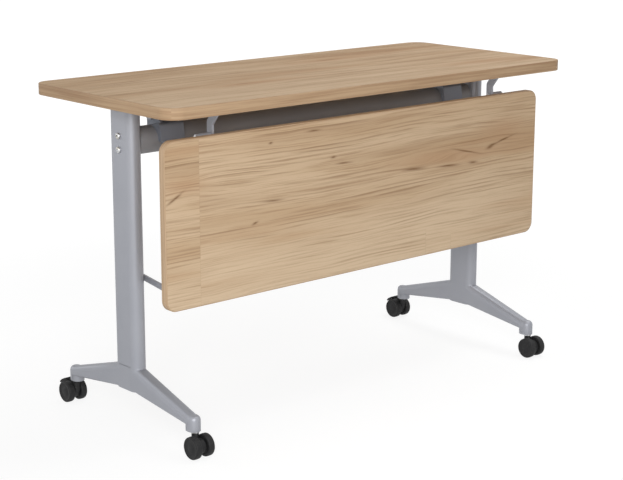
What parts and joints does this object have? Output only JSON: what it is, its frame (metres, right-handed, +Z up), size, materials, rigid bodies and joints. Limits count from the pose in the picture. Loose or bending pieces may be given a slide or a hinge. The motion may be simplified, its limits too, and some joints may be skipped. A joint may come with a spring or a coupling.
{
  "type": "flip top training table",
  "caption": "Flip top training table with a wood-grain top, a hinged modesty panel on parallel links, T-legs with cast feet, and twin-wheel swivel casters with foot brakes.",
  "frame": {"origin": "on the floor, under the middle of the table's overall box", "axes": "+X along the tabletop to the right as seen from the front, +Y from the modesty panel to the seated side, +Z up"},
  "size_m": [1.2, 0.532, 0.75],
  "materials": {
    "wood_laminate": "wood-grain laminate, satin",
    "wood_edge": "wood-look edge band, satin",
    "silver_paint": "silver powder coat, satin",
    "beam_paint": "dark grey powder coat, satin",
    "steel": "zinc-plated steel, satin",
    "black_plastic": "black moulded plastic, matt",
    "wheel_black": "black moulded plastic, matt"
  },
  "bodies": {
    "frame": {"cross_beam": "beam_paint", "column_left": "silver_paint", "foot_left": "silver_paint", "flip_saddle_left": "silver_paint", "column_cap_left": "black_plastic", "beam_bolt_lower_left": "steel", "beam_bolt_upper_left": "steel", "pivot_pin_left": "steel", "link_bolt_left": "steel", "column_right": "silver_paint", "foot_right": "silver_paint", "flip_saddle_right": "silver_paint", "column_cap_right": "black_plastic", "beam_bolt_lower_right": "steel", "beam_bolt_upper_right": "steel", "pivot_pin_right": "steel", "link_bolt_right": "steel"},
    "top": {"tabletop": "wood_laminate", "tabletop_edge_band": "wood_edge", "top_bracket_left": "silver_paint", "hanger_left": "silver_paint", "lever_pin_left": "steel", "top_bracket_right": "silver_paint", "hanger_right": "silver_paint", "lever_pin_right": "steel"},
    "panel": {"modesty_panel": "wood_laminate", "panel_edge_band": "wood_edge", "panel_knuckle_left": "silver_paint", "link_lug_left": "silver_paint", "hinge_pin_left": "steel", "panel_knuckle_right": "silver_paint", "link_lug_right": "silver_paint", "hinge_pin_right": "steel"},
    "link_left": {"link_bar_left": "silver_paint"},
    "lever_left": {"release_lever_left": "black_plastic"},
    "caster_front_left": {"caster_stem_front_left": "steel", "caster_body_front_left": "black_plastic", "caster_axle_front_left": "steel"},
    "wheel_a_front_left": {"wheel_a_front_left": "wheel_black"},
    "wheel_b_front_left": {"wheel_b_front_left": "wheel_black"},
    "caster_rear_left": {"caster_stem_rear_left": "steel", "caster_body_rear_left": "black_plastic", "caster_axle_rear_left": "steel"},
    "wheel_a_rear_left": {"wheel_a_rear_left": "wheel_black"},
    "wheel_b_rear_left": {"wheel_b_rear_left": "wheel_black"},
    "brake_pedal_rear_left": {"brake_pedal_rear_left": "black_plastic"},
    "link_right": {"link_bar_right": "silver_paint"},
    "lever_right": {"release_lever_right": "black_plastic"},
    "caster_front_right": {"caster_stem_front_right": "steel", "caster_body_front_right": "black_plastic", "caster_axle_front_right": "steel"},
    "wheel_a_front_right": {"wheel_a_front_right": "wheel_black"},
    "wheel_b_front_right": {"wheel_b_front_right": "wheel_black"},
    "caster_rear_right": {"caster_stem_rear_right": "steel", "caster_body_rear_right": "black_plastic", "caster_axle_rear_right": "steel"},
    "wheel_a_rear_right": {"wheel_a_rear_right": "wheel_black"},
    "wheel_b_rear_right": {"wheel_b_rear_right": "wheel_black"},
    "brake_pedal_rear_right": {"brake_pedal_rear_right": "black_plastic"}
  },
  "joints": [
    {"name": "top_flip", "type": "hinge", "parent": "frame", "child": "top", "pos_m": [0, 0.02, 0.693], "axis": [-1, 0, 0], "range_deg": [0, 80]},
    {"name": "panel_hinge", "type": "hinge", "parent": "top", "child": "panel", "pos_m": [0, -0.165, 0.668], "axis": [-1, 0, 0], "range_deg": [-80, 0]},
    {"name": "link_swing_left", "type": "hinge", "parent": "frame", "child": "link_left", "pos_m": [-0.5045, 0.02, 0.35], "axis": [-1, 0, 0], "range_deg": [0, 80]},
    {"name": "release_left", "type": "hinge", "parent": "top", "child": "lever_left", "pos_m": [-0.4255, 0.044, 0.711], "axis": [1, 0, 0], "range_deg": [-8, 4], "stiffness_Nm_per_rad": 1.5, "springref_deg": -8},
    {"name": "swivel_front_left", "type": "hinge", "parent": "frame", "child": "caster_front_left", "pos_m": [-0.5295, -0.227, 0.06], "axis": [0, 0, 1], "continuous": true},
    {"name": "spin_a_front_left", "type": "hinge", "parent": "caster_front_left", "child": "wheel_a_front_left", "pos_m": [-0.54575, -0.241, 0.025], "axis": [1, 0, 0], "continuous": true},
    {"name": "spin_b_front_left", "type": "hinge", "parent": "caster_front_left", "child": "wheel_b_front_left", "pos_m": [-0.51325, -0.241, 0.025], "axis": [1, 0, 0], "continuous": true},
    {"name": "swivel_rear_left", "type": "hinge", "parent": "frame", "child": "caster_rear_left", "pos_m": [-0.5295, 0.227, 0.06], "axis": [0, 0, 1], "continuous": true},
    {"name": "spin_a_rear_left", "type": "hinge", "parent": "caster_rear_left", "child": "wheel_a_rear_left", "pos_m": [-0.51325, 0.241, 0.025], "axis": [1, 0, 0], "continuous": true},
    {"name": "spin_b_rear_left", "type": "hinge", "parent": "caster_rear_left", "child": "wheel_b_rear_left", "pos_m": [-0.54575, 0.241, 0.025], "axis": [1, 0, 0], "continuous": true},
    {"name": "brake_left", "type": "hinge", "parent": "caster_rear_left", "child": "brake_pedal_rear_left", "pos_m": [-0.5295, 0.251, 0.0445], "axis": [-1, 0, 0], "range_deg": [0, 12]},
    {"name": "link_swing_right", "type": "hinge", "parent": "frame", "child": "link_right", "pos_m": [0.5045, 0.02, 0.35], "axis": [-1, 0, 0], "range_deg": [0, 80]},
    {"name": "release_right", "type": "hinge", "parent": "top", "child": "lever_right", "pos_m": [0.4255, 0.044, 0.711], "axis": [1, 0, 0], "range_deg": [-8, 4], "stiffness_Nm_per_rad": 1.5, "springref_deg": -8},
    {"name": "swivel_front_right", "type": "hinge", "parent": "frame", "child": "caster_front_right", "pos_m": [0.5295, -0.227, 0.06], "axis": [0, 0, 1], "continuous": true},
    {"name": "spin_a_front_right", "type": "hinge", "parent": "caster_front_right", "child": "wheel_a_front_right", "pos_m": [0.51325, -0.241, 0.025], "axis": [1, 0, 0], "continuous": true},
    {"name": "spin_b_front_right", "type": "hinge", "parent": "caster_front_right", "child": "wheel_b_front_right", "pos_m": [0.54575, -0.241, 0.025], "axis": [1, 0, 0], "continuous": true},
    {"name": "swivel_rear_right", "type": "hinge", "parent": "frame", "child": "caster_rear_right", "pos_m": [0.5295, 0.227, 0.06], "axis": [0, 0, 1], "continuous": true},
    {"name": "spin_a_rear_right", "type": "hinge", "parent": "caster_rear_right", "child": "wheel_a_rear_right", "pos_m": [0.54575, 0.241, 0.025], "axis": [1, 0, 0], "continuous": true},
    {"name": "spin_b_rear_right", "type": "hinge", "parent": "caster_rear_right", "child": "wheel_b_rear_right", "pos_m": [0.51325, 0.241, 0.025], "axis": [1, 0, 0], "continuous": true},
    {"name": "brake_right", "type": "hinge", "parent": "caster_rear_right", "child": "brake_pedal_rear_right", "pos_m": [0.5295, 0.251, 0.0445], "axis": [-1, 0, 0], "range_deg": [0, 12]}
  ],
  "couplings": [
    {"joint": "panel_hinge", "follows": "top_flip", "ratio": -1},
    {"joint": "link_swing_left", "follows": "top_flip", "ratio": 1},
    {"joint": "link_swing_right", "follows": "top_flip", "ratio": 1}
  ]
}
